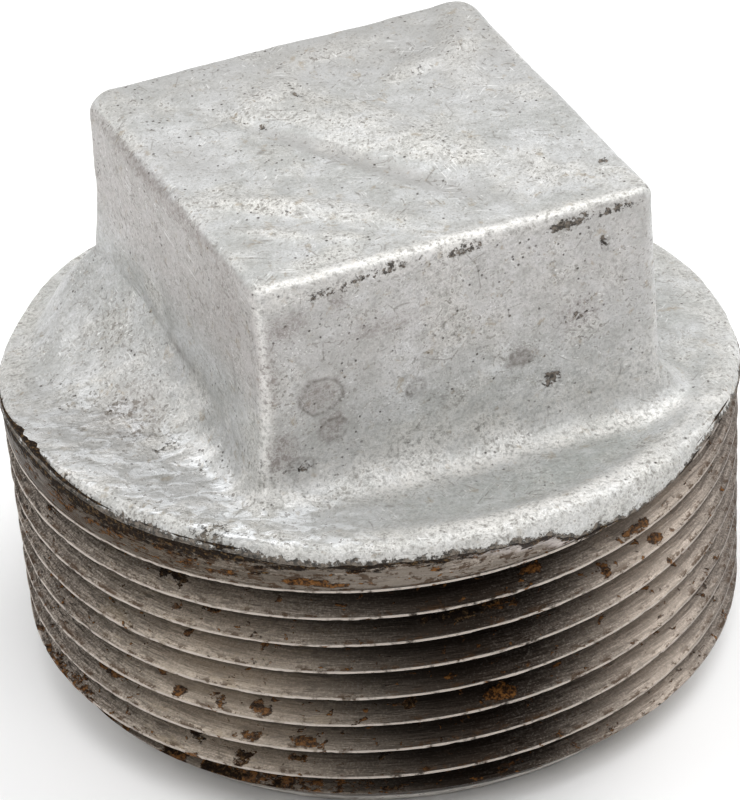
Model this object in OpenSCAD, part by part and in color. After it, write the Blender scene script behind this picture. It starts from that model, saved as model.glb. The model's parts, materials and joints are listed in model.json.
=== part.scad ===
// Square-head pipe plug, male taper thread, cored malleable-iron casting.
// The casting is galvanized all over before the thread is cut, so the thread is bare iron.
// Origin: centre of the end face, on the thread's axis. +Z runs up through the square head.

/* [Thread] */
// Threads per inch
threads_per_inch = 11.5; // [8:0.5:14]
// Pitch diameter at the small end, on the end face's plane
pitch_dia_end = 45.62; // [42:0.01:49]
// Growth in diameter per unit of length, 1 in 16
dia_taper = 0.0625; // [0.03:0.0025:0.09]
// Depth of the thread as a share of its pitch
depth_share = 0.8; // [0.5:0.05:0.8]
// Size of the 45 degree chamfer at the small end
end_chamfer = 3.4; // [1.5:0.1:4]
// Height of the last full-depth crest, over the direction crest_angle
crest_z = 17.97; // [17:0.01:19]
// Direction from the axis in which that crest's height is given
crest_angle = -113; // [-180:1:180]

/* [Head] */
// Width across the flats
across_flats = 27.9; // [24:0.1:30]
// Height of the head's top at the thread's axis
top_z = 38.1; // [34:0.1:42]
// Fall of the head's top towards +X and towards +Y, in degrees
top_fall = [3, 1.5]; // [0:0.25:4]
// Rounding of the four upright edges
upright_edge_r = 1.2; // [0.8:0.1:3]
// Chamfer around the top
top_chamfer = 0.8; // [0.4:0.1:2]
// Fillet where the head grows out of the shoulder
foot_fillet_r = 2.4; // [1:0.1:4]
// How far the square sits off the thread's axis, along X
head_shift_x = 0.7; // [-1:0.1:1]
// How far the square sits off the thread's axis, along Y
head_shift_y = -0.2; // [-1:0.1:1]

/* [Shoulder] */
// Height of the shoulder's face at the thread's axis
shoulder_z = 21.5; // [21:0.1:24]
// Rounding of the shoulder's rim
rim_r = 1; // [0.5:0.1:1.1]
// Fall of the shoulder towards +X and towards +Y, in degrees
shoulder_fall = [3.5, 3.5]; // [0:0.25:4]

/* [Hollow] */
// Radius of the hollow at its mouth
mouth_r = 16.8; // [14:0.1:18]
// Depth of the wide part of the hollow
shank_hollow_h = 15.5; // [10:0.5:16]
// Radius of the narrow part of the hollow, inside the head
head_hollow_r = 8.2; // [7:0.1:9]
// Height of the hollow's crown
hollow_top_z = 31.5; // [24:0.5:32]
// Narrowing of the hollow per unit of height, on the radius
core_draft = 0.05; // [0.02:0.01:0.08]

/* [Zinc] */
// Thickness of the zinc coat
zinc_t = 0.12; // [0.06:0.02:0.3]

/* [Hidden] */
$fn = 96;

inch = 25.4;
pitch = inch / threads_per_inch;
depth = depth_share * pitch;
crest_r_end = (pitch_dia_end + depth) / 2;
end_face_r = crest_r_end - end_chamfer;

// The thread's facets
turn_steps = 72;
// Shares of one pitch, measured up from the middle of a crest: where each line of facets runs
crest_half = 0.04;
root_mid = 0.5;
root_half = 0.05;
flank_mid = (crest_half + root_mid - root_half) / 2;
row_share = [-crest_half, crest_half, flank_mid, root_mid - root_half, root_mid + root_half, 1 - flank_mid];
// Depth of each line of facets as a share of the full depth
row_depth = [0, 0, 0.5, 1, 1, 0.5];
rows_per_turn = len(row_share);

// The threaded ring reaches from just above the end face into the underside of the rim
ring_bottom_z = 0.3;
ring_inner_r = 19;
rim_drop = 1.2;
ring_overlap = 0.1;
// Facet lines keep this far from the ring's two ends
row_clearance = 0.06;
// The ring stands proud of the core by this much at its lower end
ring_step = 0.03;
// The rim lies this far inside the thread's crests
rim_inset = 0.2;
lid_r = crest_r_end + shoulder_z * dia_taper / 2 - rim_inset;

// Rounding at the top of the hollow's wide part and of its narrow part
hollow_round_r = 3;

// Solids that are cut away reach this far past the surface they open
past = 1;
// Wide enough to cut across the whole plug
span = 80;

// ---- heights and radii of the thread ----

// Height of the plane drop below the shoulder's face, over the point x, y
function shoulder_plane(x, y, drop) =
    shoulder_z - drop - tan(shoulder_fall[0]) * x - tan(shoulder_fall[1]) * y;

function column_angle(j) = 360 * j / turn_steps;

function band_r(z) = crest_r_end + z * dia_taper / 2;

// The ring's upper end over one column
function ring_top(j) =
    let (a = column_angle(j), r = band_r(shoulder_z))
    shoulder_plane(r * cos(a), r * sin(a), rim_drop - ring_overlap);

// Height of facet line i over column j. The line climbs one pitch in a whole turn to the right hand.
function line_z(i, j) =
    let (turn = floor(i / rows_per_turn), k = i - turn * rows_per_turn)
    crest_z + pitch * (turn + row_share[k] + (column_angle(j) - crest_angle) / 360);

// The first groove fades out towards the shoulder
function groove_share(z, top) = max(0, min(1, (top - z) / pitch));

function line_r(i, j) =
    let (z = line_z(i, j),
         k = i - floor(i / rows_per_turn) * rows_per_turn,
         thread_r = band_r(z) - depth * row_depth[k] * groove_share(z, ring_top(j)),
         chamfer_r = end_face_r + z)
    min(thread_r, chamfer_r);

function on_column(j, r, z) = [r * cos(column_angle(j)), r * sin(column_angle(j)), z];

// Turns of facet lines tried beyond the ring's two ends
spare_turns = 3;
first_line = -rows_per_turn * (ceil(crest_z / pitch) + spare_turns);
last_line = rows_per_turn * (ceil((shoulder_z - crest_z) / pitch) + spare_turns);

// The facet lines that fit on column j
function lines_in(j) =
    [for (i = [first_line : last_line])
        if (line_z(i, j) > ring_bottom_z + row_clearance && line_z(i, j) < ring_top(j) - row_clearance) i];

// One column of the ring's outer wall, from its bottom to its top
function column_points(j, lines) =
    concat([on_column(j, end_face_r + ring_bottom_z + ring_step, ring_bottom_z)],
           [for (i = lines) on_column(j, line_r(i, j), line_z(i, j))],
           [on_column(j, band_r(shoulder_z), ring_top(j))]);

// The same column's lines, numbered from the first one. The seam joins a line to the next turn's.
function next_lines(j, lines) = j < turn_steps - 1 ? lines[j + 1] : [for (i = lines[0]) i - rows_per_turn];

function running_sum(v, n) = n == 0 ? 0 : v[n - 1] + running_sum(v, n - 1);

// Triangles between a left column and its right neighbour, both listed from bottom to top.
// Shift is 0, or -1 where a new line starts at the bottom of the right column.
function strip(left, right, left_lines, right_lines) =
    let (shift = right_lines[0] - left_lines[0], n = len(left), m = len(right))
    concat(
        shift == 0 ? [[left[0], right[0], right[1]], [left[0], right[1], left[1]]]
                   : [[left[0], right[0], right[1]], [left[0], right[1], right[2]],
                      [left[0], right[2], left[1]]],
        [for (k = [1 : n - 3], t = [0, 1])
            t == 0 ? [left[k], right[k - shift], right[k + 1 - shift]]
                   : [left[k], right[k + 1 - shift], left[k + 1]]],
        let (last = n - 2, beside = last - shift)
        [for (k = [beside : 1 : m - 2]) [left[last], right[k], right[k + 1]]],
        [[left[n - 2], right[m - 1], left[n - 1]]]);

// ---- bodies shared by the sub-parts ----

module rounded_square(side, r) {
    square([side - 2 * r, side], center = true);
    square([side, side - 2 * r], center = true);
    for (x = [-1, 1], y = [-1, 1])
        translate([x, y] * (side / 2 - r)) circle(r);
}

// Leans its children by a fall towards +X and +Y, about the point at height z on the axis
module leaning(z, fall) {
    translate([0, 0, z]) rotate([-fall[1], fall[0], 0]) children();
}

// Everything above a leaning plane, or everything below it
module above_plane(z, fall) {
    leaning(z, fall) translate([-span / 2, -span / 2, 0]) cube(span);
}

module below_plane(z, fall) {
    leaning(z, fall) translate([-span / 2, -span / 2, -span]) cube(span);
}

// The disc that forms the shoulder, grown by g on its top and its rim
module shoulder_disc(g, drop) {
    leaning(shoulder_z, shoulder_fall)
        rotate_extrude()
            union() {
                translate([0, -drop]) square([lid_r + g, drop + g - rim_r]);
                translate([0, -drop]) square([lid_r + g - rim_r, drop + g]);
                translate([lid_r + g - rim_r, g - rim_r]) circle(rim_r);
            }
}

// The square, with its top chamfered
module head_block(g) {
    side = across_flats + 2 * g;
    difference() {
        translate([head_shift_x, head_shift_y, 0]) linear_extrude(top_z + past * 2)
            rounded_square(side, upright_edge_r + g);
        below_plane(shoulder_z - rim_drop / 2, shoulder_fall);
        above_plane(top_z + g, top_fall);
        translate([head_shift_x, head_shift_y, 0]) leaning(top_z + g, top_fall)
            for (quarter = [0 : 3])
                rotate([0, 0, 90 * quarter]) translate([side / 2, 0, -top_chamfer])
                    rotate([0, -45, 0]) translate([0, -span / 2, 0]) cube(span);
    }
}

// Core inside the threaded ring
module shank_core() {
    difference() {
        cylinder(h = shoulder_z + past * 2, r = end_face_r);
        above_plane(shoulder_z - rim_drop / 2, shoulder_fall);
    }
}

// Quarter-round hollow profile that fills the corner between a wall and a floor
module fillet_profile(r, inward) {
    difference() {
        translate([-inward, -inward]) square(r + inward);
        translate([r, r]) circle(r);
    }
}

// Fillet all round the head's foot. The zinc's has the same radius, because zinc pools in the corner.
module foot_fillet(g) {
    side = across_flats + 2 * g;
    corner = upright_edge_r + g;
    straight = side - 2 * corner;
    lift = shoulder_plane(head_shift_x, head_shift_y, 0) + g;
    translate([head_shift_x, head_shift_y, 0]) leaning(lift, shoulder_fall)
        for (quarter = [0 : 3]) rotate([0, 0, 90 * quarter]) {
            translate([side / 2, straight / 2, 0])
                rotate([90, 0, 0]) linear_extrude(straight) fillet_profile(foot_fillet_r, corner / 2);
            translate([straight / 2, straight / 2, 0])
                rotate_extrude() translate([corner, 0]) fillet_profile(foot_fillet_r, corner / 2);
        }
}

// Everything above the thread, grown by g
module upper_form(g, drop) {
    shoulder_disc(g, drop);
    head_block(g);
    foot_fillet(g);
}

// Half of a hole's section: straight up to straight_z, then narrowing to a rounded top
module hole_section(low_r, top_r, low_z, straight_z, top_z) {
    round_z = top_z - hollow_round_r;
    polygon([[0, low_z], [low_r, low_z], [low_r, straight_z], [top_r, round_z], [0, round_z]]);
    translate([0, round_z - hollow_round_r]) square([top_r - hollow_round_r, 2 * hollow_round_r]);
    translate([top_r - hollow_round_r, round_z]) circle(hollow_round_r);
}

// The hollow that the casting's core leaves, shrunk by g and opened downwards
module hollow_form(g, below) {
    wide_top_r = mouth_r - core_draft * shank_hollow_h;
    narrow_top_r = head_hollow_r - core_draft * (hollow_top_z - shank_hollow_h);
    rotate_extrude()
        union() {
            hole_section(mouth_r - g, wide_top_r - g, -below, 0, shank_hollow_h - g);
            hole_section(head_hollow_r - g, narrow_top_r - g, 0, shank_hollow_h, hollow_top_z - g);
        }
}

// Ring that carries the thread: a faceted outer wall, two flat ends and a plain inner wall
module threaded_ring() {
    lines = [for (j = [0 : turn_steps - 1]) lines_in(j)];
    columns = [for (j = [0 : turn_steps - 1]) column_points(j, lines[j])];
    sizes = [for (c = columns) len(c)];
    starts = [for (j = [0 : turn_steps - 1]) running_sum(sizes, j)];
    outer_count = running_sum(sizes, turn_steps);
    outer_points = [for (c = columns) each c];
    inner_low = [for (j = [0 : turn_steps - 1]) on_column(j, ring_inner_r, ring_bottom_z)];
    inner_high = [for (j = [0 : turn_steps - 1])
        let (p = on_column(j, ring_inner_r, 0))
        [p[0], p[1], shoulder_plane(p[0], p[1], rim_drop - ring_overlap)]];

    outer_faces = [for (j = [0 : turn_steps - 1])
        let (next = (j + 1) % turn_steps,
             left = [for (k = [0 : sizes[j] - 1]) starts[j] + k],
             right = [for (k = [0 : sizes[next] - 1]) starts[next] + k])
        each strip(left, right, lines[j], next_lines(j, lines))];
    ring_faces = [for (j = [0 : turn_steps - 1])
        let (next = (j + 1) % turn_steps,
             ob = starts[j], obn = starts[next],
             ot = starts[j] + sizes[j] - 1, otn = starts[next] + sizes[next] - 1,
             ib = outer_count + j, ibn = outer_count + next,
             it = ib + turn_steps, itn = ibn + turn_steps)
        each [[ob, ib, ibn], [ob, ibn, obn], [ot, otn, itn], [ot, itn, it], [ib, it, itn], [ib, itn, ibn]]];
    polyhedron(points = concat(outer_points, inner_low, inner_high),
               faces = [for (f = concat(outer_faces, ring_faces)) [f[0], f[2], f[1]]]);
}

// ---- sub-parts ----

// The iron casting: cored shank with its thread, shoulder and square head
module casting() {
    color("dimgray")
        difference() {
            union() {
                shank_core();
                threaded_ring();
                upper_form(0, rim_drop);
            }
            hollow_form(0, past);
        }
}

// The zinc left on the outside, from the rim of the shoulder upwards
module outer_zinc() {
    color("gainsboro")
        difference() {
            upper_form(zinc_t, rim_drop - ring_overlap);
            upper_form(0, rim_drop + past);
        }
}

// The zinc that lines the hollow
module hollow_zinc() {
    color("silver")
        difference() {
            hollow_form(0, 0);
            hollow_form(zinc_t, past);
        }
}

casting();
outer_zinc();
hollow_zinc();
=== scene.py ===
"""Looks of a galvanized square-head pipe plug.

Three closed pieces stand for the three CAD nodes: the bare iron shank with its thread, the zinc-coated
head and shoulder, and the zinc lining of the hollow. Lengths are in millimetres until a mesh is made.
Angles are in degrees about the thread's axis, 0 towards +X and 90 towards +Y.
"""

import json
import math

import bpy
import numpy as np
from mathutils import Matrix, Vector


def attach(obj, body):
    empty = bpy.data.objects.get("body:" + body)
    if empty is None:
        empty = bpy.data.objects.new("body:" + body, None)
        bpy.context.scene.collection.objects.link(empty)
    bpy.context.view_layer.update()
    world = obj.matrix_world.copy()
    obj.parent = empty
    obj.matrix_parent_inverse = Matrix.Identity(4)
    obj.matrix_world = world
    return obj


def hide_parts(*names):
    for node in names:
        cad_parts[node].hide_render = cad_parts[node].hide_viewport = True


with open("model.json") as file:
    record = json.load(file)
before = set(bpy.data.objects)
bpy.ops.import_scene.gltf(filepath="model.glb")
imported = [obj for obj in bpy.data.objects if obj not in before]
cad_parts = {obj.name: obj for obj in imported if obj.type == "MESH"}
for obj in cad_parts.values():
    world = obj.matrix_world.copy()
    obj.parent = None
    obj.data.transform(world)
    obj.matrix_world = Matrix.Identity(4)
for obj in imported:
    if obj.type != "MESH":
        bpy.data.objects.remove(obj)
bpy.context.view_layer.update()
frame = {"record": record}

MM = 0.001
MOUNTS = {mount["name"]: mount for mount in frame["record"]["mounts"]}


def mount_mm(name):
    """A mount's place in millimetres."""
    return np.array(MOUNTS[name]["pos_m"]) / MM


# ---- sizes that follow the frame ----

PITCH = 25.4 / 11.5
THREAD_DEPTH = 0.8 * PITCH
CREST_R_END = MOUNTS["pipe_thread"]["dims"]["r_mm"]
RADIUS_TAPER = 1 / 32
END_CHAMFER = 3.4
CREST_Z = 17.97
CREST_ANGLE = -113

EAST, WEST = mount_mm("wrench_flat_east")[0], mount_mm("wrench_flat_west")[0]
NORTH, SOUTH = mount_mm("wrench_flat_north")[1], mount_mm("wrench_flat_south")[1]
HEAD_CENTRE = np.array([(EAST + WEST) / 2, (NORTH + SOUTH) / 2])
HEAD_HALF = (EAST - WEST) / 2
TOP_Z = 38.22
TOP_FALL = (math.tan(math.radians(3)), math.tan(math.radians(1.5)))

SHOULDER_Z = 21.62
SHOULDER_FALL = math.tan(math.radians(3.5))
RIM_R = 24.42

MOUTH_R = 16.8
STEP_R = 16.0
STEP_Z = 15.5
CROWN_R = 7.4
NARROW_R = 8.2
CROWN_Z = 31.5
HOLLOW_ROUND = 3
LINING = 0.12
# Room between the lining and the metal behind it
GAP = 0.06


# ---- numbers and noise ----


def smooth(value, low, high):
    """0 below low, 1 above high, and a smooth step between them."""
    t = np.clip((value - low) / (high - low), 0, 1)
    return t * t * (3 - 2 * t)


def bell(value, middle, width):
    """A bell of height 1."""
    return np.exp(-(((value - middle) / width) ** 2))


def largest(*shares):
    """The largest of several arrays, point by point."""
    return np.maximum.reduce(shares)


def turn_from(angle, middle):
    """The signed turn from middle to angle, from -180 to 180."""
    return (angle - middle + 180) % 360 - 180


def arc_bell(angle, middle, width):
    """A bell of height 1 about an angle."""
    return bell(turn_from(angle, middle), 0, width)


def arc_window(angle, start, rise, end, fall):
    """1 between two angles, with a smooth step that follows each of them."""
    return smooth(turn_from(angle, start), 0, rise) * (1 - smooth(turn_from(angle, end), 0, fall))


def lattice_random(ix, iy, iz, seed):
    """A repeatable number from 0 to 1 for each whole point of a lattice."""
    h = (ix * 73856093) ^ (iy * 19349663) ^ (iz * 83492791) ^ (seed * 40503)
    h = ((h & 0xFFFFFFFF) * 2246822519) & 0xFFFFFFFF
    h = ((h ^ (h >> 15)) * 3266489917) & 0xFFFFFFFF
    h ^= h >> 13
    return (h & 0xFFFFFF) / 0xFFFFFF


def noise(points, size, seed):
    """Smooth noise from -1 to 1 with features of about size, which is one number or one for each axis."""
    p = points / np.asarray(size, float)
    whole = np.floor(p).astype(np.int64)
    part = p - whole
    part = part**3 * (part * (part * 6 - 15) + 10)
    total = np.zeros(len(p))
    for corner in np.ndindex(2, 2, 2):
        weight = np.ones(len(p))
        for axis in range(3):
            weight = weight * (part[:, axis] if corner[axis] else 1 - part[:, axis])
        at = whole + np.array(corner)
        total += weight * lattice_random(at[:, 0], at[:, 1], at[:, 2], seed)
    return total * 2 - 1


def layered(points, size, seed, layers=3):
    """Noise of several sizes, each half of the one before."""
    total = sum(noise(points, np.asarray(size, float) / 2**k, seed + k) / 2**k for k in range(layers))
    return total / (2 - 2.0 ** (1 - layers))


def patch(points, centre, radii):
    """Distance from centre, where 1 is the surface of an ellipsoid with those radii."""
    return np.sqrt((((points - np.array(centre)) / np.array(radii)) ** 2).sum(1))


# ---- shape of the shoulder and the head ----


def shoulder_plane(x, y):
    return SHOULDER_Z - SHOULDER_FALL * (x + y)


def rim_fall(angle):
    """How much lower the shoulder's rim lies at its left and right ends."""
    return 0.75 * arc_bell(angle, 142, 30) + 0.65 * arc_bell(angle, -3, 32)


def zinc_edge_drop(angle):
    """How far the zinc's lower edge lies below the shoulder's plane."""
    plain = 1.1 - 0.75 * arc_bell(angle, 180, 14)
    tongue = smooth(turn_from(angle, -85), -4, 4) * (1 - smooth(turn_from(angle, -62), -8, 8))
    return plain + 1.0 * tongue - 0.45 * arc_bell(angle, -47, 9) + rim_fall(angle)


def zinc_edge_z(angle):
    turn = np.radians(angle)
    plane = shoulder_plane(RIM_R * np.cos(turn), RIM_R * np.sin(turn))
    ring = np.stack([np.cos(turn), np.sin(turn), 0 * turn], 1) * RIM_R
    ragged = 0.14 * noise(ring, 1.3, 11) + 0.14 * noise(ring, 0.55, 12)
    return plane - zinc_edge_drop(angle) + ragged


def ridge(x, y, centre, direction, length, width):
    """A long soft hump on the head's top."""
    turn = math.radians(direction)
    along = (x - centre[0]) * math.cos(turn) + (y - centre[1]) * math.sin(turn)
    across = -(x - centre[0]) * math.sin(turn) + (y - centre[1]) * math.cos(turn)
    return bell(along, 0, length / 2) * bell(across, 0, width / 2)


# Centre, direction, length, width and height of the humps that the zinc froze in on the top
TOP_RIDGES = [
    ((1.6, 0.6), -57, 16, 3.8, 0.52),
    ((-1.1, -1.6), -57, 15, 1.8, -0.34),
    ((-6.5, -6.3), -36, 13, 2.0, 0.36),
    ((-9.2, -4.2), -28, 8, 1.2, 0.22),
    ((-7.6, -9.2), -33, 9, 1.5, 0.22),
    ((11.6, 8.6), 66, 8, 2.2, 0.5),
    ((8.0, 6.6), 20, 6, 1.8, 0.34),
    ((-2.6, 7.4), 40, 7, 2.2, 0.26),
    ((3.0, 11.0), 5, 9, 2.4, 0.22),
    ((-10.5, 3.0), -60, 9, 5.0, -0.15),
    ((5.5, -8.5), -30, 10, 5.0, -0.12),
]


def top_plane(x, y):
    return TOP_Z - TOP_FALL[0] * x - TOP_FALL[1] * y


def top_height(x, y):
    """The top's plane with the humps on it."""
    z = top_plane(x, y)
    for centre, direction, length, width, height in TOP_RIDGES:
        z = z + height * ridge(x, y, centre, direction, length, width)
    return z


# Going round the head from its south-west corner: sides south, east, north, west
SIDES = [(0, -1), (1, 0), (0, 1), (-1, 0)]
# Rounding of the upright corner before each side: south-west, south-east, north-east, north-west
CORNER_R = [0.95, 1.3, 2.0, 2.2]
# Rounding of the top edge above each side
TOP_EDGE_R = [0.7, 1.0, 1.2, 1.25]
# Width and height of the foot's blend into the shoulder on each side
FOOT_WIDTH = [2.3, 3.4, 3.0, 8.5]
FOOT_HEIGHT = [2.3, 3.6, 3.0, 5.4]
# The same on the west side, which runs out towards the front: place along Y, width and height
WEST_FOOT_PLACES = [-14, -8, -1.2, 4.2, 10]
WEST_FOOT_WIDTHS = [1.4, 3.2, 5.8, 8.0, 8.5]
WEST_FOOT_HEIGHTS = [1.4, 2.8, 3.9, 4.7, 5.4]


def outline(side, along):
    """Points and outward normals of the head's rounded square. along runs from -1 to 1 on each side."""
    points, normals = np.zeros((len(side), 2)), np.zeros((len(side), 2))
    for s, (nx, ny) in enumerate(SIDES):
        here = side == s
        a = along[here]
        r = np.where(a < 0, CORNER_R[s], CORNER_R[(s + 1) % 4])
        straight = HEAD_HALF - r
        length = np.abs(a) * (straight + r * math.pi / 4)
        turn = np.maximum(length - straight, 0) / r
        t = np.sign(a) * (np.minimum(length, straight) + r * np.sin(turn))
        out = straight + r * np.cos(turn)
        forward = np.sign(a) * np.sin(turn)
        points[here] = np.stack([nx * out - ny * t, ny * out + nx * t], 1)
        normals[here] = np.stack([nx * np.cos(turn) - ny * forward, ny * np.cos(turn) + nx * forward], 1)
    return points, normals


def side_share(normals, s):
    """How much a normal belongs to side s, blended round the corners."""
    return smooth(normals @ np.array(SIDES[s], float), 0.25, 0.97)


def by_side(normals, values):
    shares = np.stack([side_share(normals, s) for s in range(4)], 1) + 1e-9
    return (shares @ np.array(values)) / shares.sum(1)


def foot_rise(distance, normals, y):
    """Height of the foot's blend above the shoulder, at a distance from the head's wall."""
    west = side_share(normals, 3)

    def size(by_sides, along_west):
        return by_side(normals, by_sides) * (1 - west) + west * np.interp(y, WEST_FOOT_PLACES, along_west)

    width, height = size(FOOT_WIDTH, WEST_FOOT_WIDTHS), size(FOOT_HEIGHT, WEST_FOOT_HEIGHTS)
    share = 1 - np.clip(distance / width, 0, 1)
    round_blend = 1 - np.sqrt(np.clip(1 - share**2, 0, 1))
    creased = west * smooth(y, -5, 4)
    return height * (round_blend * (1 - creased) + share**1.8 * creased)


def corner_radius(local):
    """Rounding of the nearest upright corner. local is measured from the head's centre."""
    east, north = local[:, 0] > 0, local[:, 1] >= 0
    return np.array(CORNER_R)[np.where(north, np.where(east, 2, 3), np.where(local[:, 0] < 0, 0, 1))]


def top_edge_radius(wall, normals):
    return np.minimum(by_side(normals, TOP_EDGE_R), 0.9 * corner_radius(wall))


def square_distance(xy):
    """Distance outside the head's rounded square, and the direction away from it."""
    local = xy - HEAD_CENTRE
    r = corner_radius(local)
    q = np.abs(local) - (HEAD_HALF - r)[:, None]
    beyond = np.maximum(q, 1e-6)
    length = np.linalg.norm(beyond, axis=1)
    return np.maximum(length - r, 0), np.sign(local) * beyond / length[:, None]


def shoulder_height(xy):
    """The shoulder's surface with its dish, its lip and the foot's blend."""
    x, y = xy[:, 0], xy[:, 1]
    inside = RIM_R - np.hypot(x, y)
    angle = np.degrees(np.arctan2(y, x))
    dished = arc_bell(angle, -78, 42)
    lip = 0.24 * bell(inside, 1.6, 1.0) * (0.1 + 0.9 * dished)
    dish = -0.42 * dished * smooth(inside, 1.6, 4.0)
    fall = -rim_fall(angle) * (1 - smooth(inside, 0.5, 4.5))
    distance, normals = square_distance(xy)
    foot = foot_rise(distance, normals, y - HEAD_CENTRE[1]) * smooth(inside, 0.2, 4.2)
    return shoulder_plane(x, y) + lip + dish + fall + foot


# ---- meshes ----


def number_rows(rings, start=0):
    """Numbers of the points on each ring, where the first one has the number start."""
    return start + np.arange(rings.shape[0] * rings.shape[1]).reshape(rings.shape[:2])


def join_rows(rows):
    """Quads between successive closed rows of point numbers, which face outwards on rows that go down."""
    faces = []
    for row, below in zip(rows, rows[1:]):
        faces += np.stack([row, below, np.roll(below, -1), np.roll(row, -1)], 1).tolist()
    return faces


def directions(turns):
    return np.stack([np.cos(turns), np.sin(turns)], 1)


def level_ring(out, r, z):
    """Points at radius r and height z, in the directions out."""
    return np.column_stack([out * r, np.full(len(out), z)])


def arc_points(r, z, size, turns):
    """Radius and height of points on an arc about the middle r, z."""
    return [(r + size * math.cos(a), z + size * math.sin(a)) for a in turns]


def rounded_edge(wall, outward, radius, top_z, count):
    """Rings of a quarter turn, from a level surface at top_z down to an upright wall."""
    rings = []
    for k in range(1, count + 1):
        turn = math.pi / 2 * k / count
        xy = wall - outward * (radius * (1 - math.sin(turn)))[:, None]
        rings.append(np.column_stack([xy, top_z - radius * (1 - math.cos(turn))]))
    return rings


def fan(row, centre):
    """Triangles that close a row on one point."""
    return [[here, centre, after] for here, after in zip(row.tolist(), np.roll(row, -1).tolist())]


def add_object(name, data):
    new = bpy.data.objects.new(name, data)
    bpy.context.scene.collection.objects.link(new)
    return new


def make_piece(name, points, faces, replaced):
    mesh = bpy.data.meshes.new(name)
    mesh.from_pydata((points * MM).tolist(), [], faces)
    mesh.validate()
    mesh.update()
    piece = add_object(name, mesh)
    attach(piece, "root")
    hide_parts(replaced)
    return piece


def points_and_normals(mesh):
    """The mesh's points in millimetres and its normals."""
    values = np.empty((2, len(mesh.vertices) * 3))
    mesh.vertices.foreach_get("co", values[0])
    mesh.vertex_normals.foreach_get("vector", values[1])
    return values[0].reshape(-1, 3) / MM, values[1].reshape(-1, 3)


def write_points(mesh, points):
    mesh.vertices.foreach_set("co", (points * MM).ravel())
    mesh.update()


def paint(mesh, **layers):
    """Stores numbers from 0 to 1 for each point, by name, for a material to read."""
    for name, values in layers.items():
        attribute = mesh.attributes.new(name, "FLOAT", "POINT")
        attribute.data.foreach_set("value", np.clip(values, 0, 1).astype(np.float32))


def shade_smooth(mesh, sharp_angle):
    mesh.shade_smooth()
    mesh.set_sharp_from_angle(angle=math.radians(sharp_angle))


# ---- the zinc-coated head and shoulder ----

# Direction of the ripples on the shoulder's front left
RIPPLE_TURN = 25
# Points along each side of the head, and rings on each part of it from the top down
PER_SIDE = 132
EDGE_RINGS = 7
WALL_RINGS = 62
FOOT_RINGS = 52
RIM_RINGS = 9
SKIRT_RINGS = 6


def head_rings():
    """Rings of points from the top's border down the walls, over the shoulder and round its rim."""
    count = 4 * PER_SIDE
    column = np.arange(count)
    side, along = column // PER_SIDE, 2 * (column % PER_SIDE) / PER_SIDE - 1
    wall, normals = outline(side, along)
    edge_r = top_edge_radius(wall, normals)
    border = wall - normals * edge_r[:, None] + HEAD_CENTRE
    edge_z = top_height(border[:, 0], border[:, 1])
    foot_xy = wall + HEAD_CENTRE
    rings = rounded_edge(foot_xy, normals, edge_r, edge_z, EDGE_RINGS)
    foot_z = shoulder_height(foot_xy)
    wall_top = edge_z - edge_r
    for k in range(1, WALL_RINGS + 1):
        t = k / WALL_RINGS
        rings.append(np.column_stack([foot_xy, wall_top + (foot_z - wall_top) * t]))

    angle = np.degrees(np.arctan2(foot_xy[:, 1], foot_xy[:, 0]))
    drop = zinc_edge_drop(angle)
    rim_round = np.clip(0.9 * (drop - rim_fall(angle)), 0.3, 1.1)
    out = directions(np.radians(angle))
    rim_start = out * (RIM_R - rim_round)[:, None]
    for k in range(1, FOOT_RINGS + 1):
        xy = foot_xy + (rim_start - foot_xy) * (k / FOOT_RINGS) ** 1.6
        rings.append(np.column_stack([xy, shoulder_height(xy)]))

    rings += rounded_edge(out * RIM_R, out, rim_round, rings[-1][:, 2], RIM_RINGS)

    skirt_top = rings[-1][:, 2]
    skirt_end = np.minimum(zinc_edge_z(angle), skirt_top - 0.1)
    for k in range(1, SKIRT_RINGS + 1):
        t = k / SKIRT_RINGS
        curl = 0.07 * math.sin(math.pi * t)
        rings.append(np.column_stack([out * (RIM_R + curl), skirt_top + (skirt_end - skirt_top) * t]))
    return np.array(rings), out


def hidden_head_rings(out):
    """The head's underside inside the shank and the walls of its hollow, up to the crown."""
    plane = shoulder_plane(out[:, 0] * RIM_R, out[:, 1] * RIM_R)
    tucked = np.column_stack([out * (RIM_R - 0.4), plane - 0.7])
    steps = [(NARROW_R + GAP, SHOULDER_Z - 1.6), (CROWN_R + GAP, CROWN_Z - 2)]
    steps += [(4.6, CROWN_Z), (1.5, CROWN_Z)]
    return np.array([tucked] + [level_ring(out, r, z) for r, z in steps])


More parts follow.
